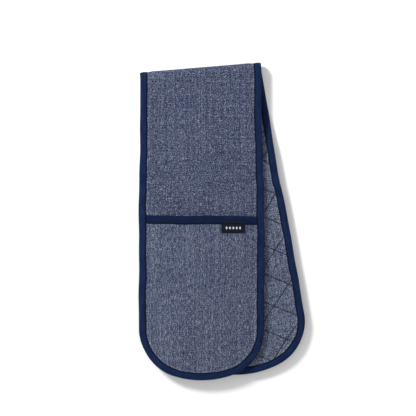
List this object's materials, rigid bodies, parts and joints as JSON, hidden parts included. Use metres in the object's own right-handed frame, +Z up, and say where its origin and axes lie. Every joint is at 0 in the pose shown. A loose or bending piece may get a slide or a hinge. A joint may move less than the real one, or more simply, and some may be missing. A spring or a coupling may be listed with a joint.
{
  "type": "double oven glove",
  "caption": "Long padded kitchen glove: a quilted strip with bias-bound rounded ends and a hand pocket at each end, folded in half and laid flat.",
  "frame": {"origin": "centre of the folded glove's box, at the surface it lies on", "axes": "+Z up, +Y along the front leaf towards the fold, +X to the right seen from the front leaf's rounded end"},
  "size_m": [0.2314, 0.4428, 0.0306],
  "materials": {
    "chambray": "matte",
    "quilting": "matte",
    "binding": "matte",
    "wadding": "matte",
    "lining": "matte",
    "label": "satin"
  },
  "bodies": {
    "rear_pocket": {"rear_pocket_face": "chambray", "rear_pocket_wadding": "wadding", "rear_pocket_lining": "lining", "rear_mouth_binding": "binding"},
    "rear_leaf": {"rear_strip_face": "chambray", "rear_strip_wadding": "wadding", "rear_strip_back": "quilting", "rear_edge_binding": "binding"},
    "fold_band": {"fold_face": "chambray", "fold_wadding": "wadding", "fold_back": "quilting", "fold_binding_left": "binding", "fold_binding_right": "binding"},
    "front_leaf": {"front_strip_face": "chambray", "front_strip_wadding": "wadding", "front_strip_back": "quilting", "front_edge_binding": "binding"},
    "front_pocket": {"front_pocket_face": "chambray", "front_pocket_wadding": "wadding", "front_pocket_lining": "lining", "front_mouth_binding": "binding", "label": "label"}
  },
  "joints": [
    {"name": "rear_pocket_open", "type": "hinge", "parent": "rear_pocket", "child": "rear_leaf", "pos_m": [0.03966, -0.20515, 0.0091], "axis": [0.9863, 0.165, 0], "range_deg": [0, 8]},
    {"name": "fold_lower", "type": "hinge", "parent": "rear_leaf", "child": "fold_band", "pos_m": [-0.02935, 0.21015, 0.00446], "axis": [-0.9966, -0.0828, 0], "range_deg": [0, 87], "deforming": ["fold_face", "fold_wadding", "fold_back", "fold_binding_left", "fold_binding_right"]},
    {"name": "fold_upper", "type": "hinge", "parent": "fold_band", "child": "front_leaf", "pos_m": [-0.02935, 0.21015, 0.01624], "axis": [-0.9966, -0.0828, 0], "range_deg": [0, 87]},
    {"name": "front_pocket_open", "type": "hinge", "parent": "front_leaf", "child": "front_pocket", "pos_m": [-0.02886, -0.21084, 0.0207], "axis": [1, 0, 0], "range_deg": [0, 8]}
  ],
  "couplings": [
    {"joint": "fold_upper", "follows": "fold_lower", "ratio": 1}
  ]
}
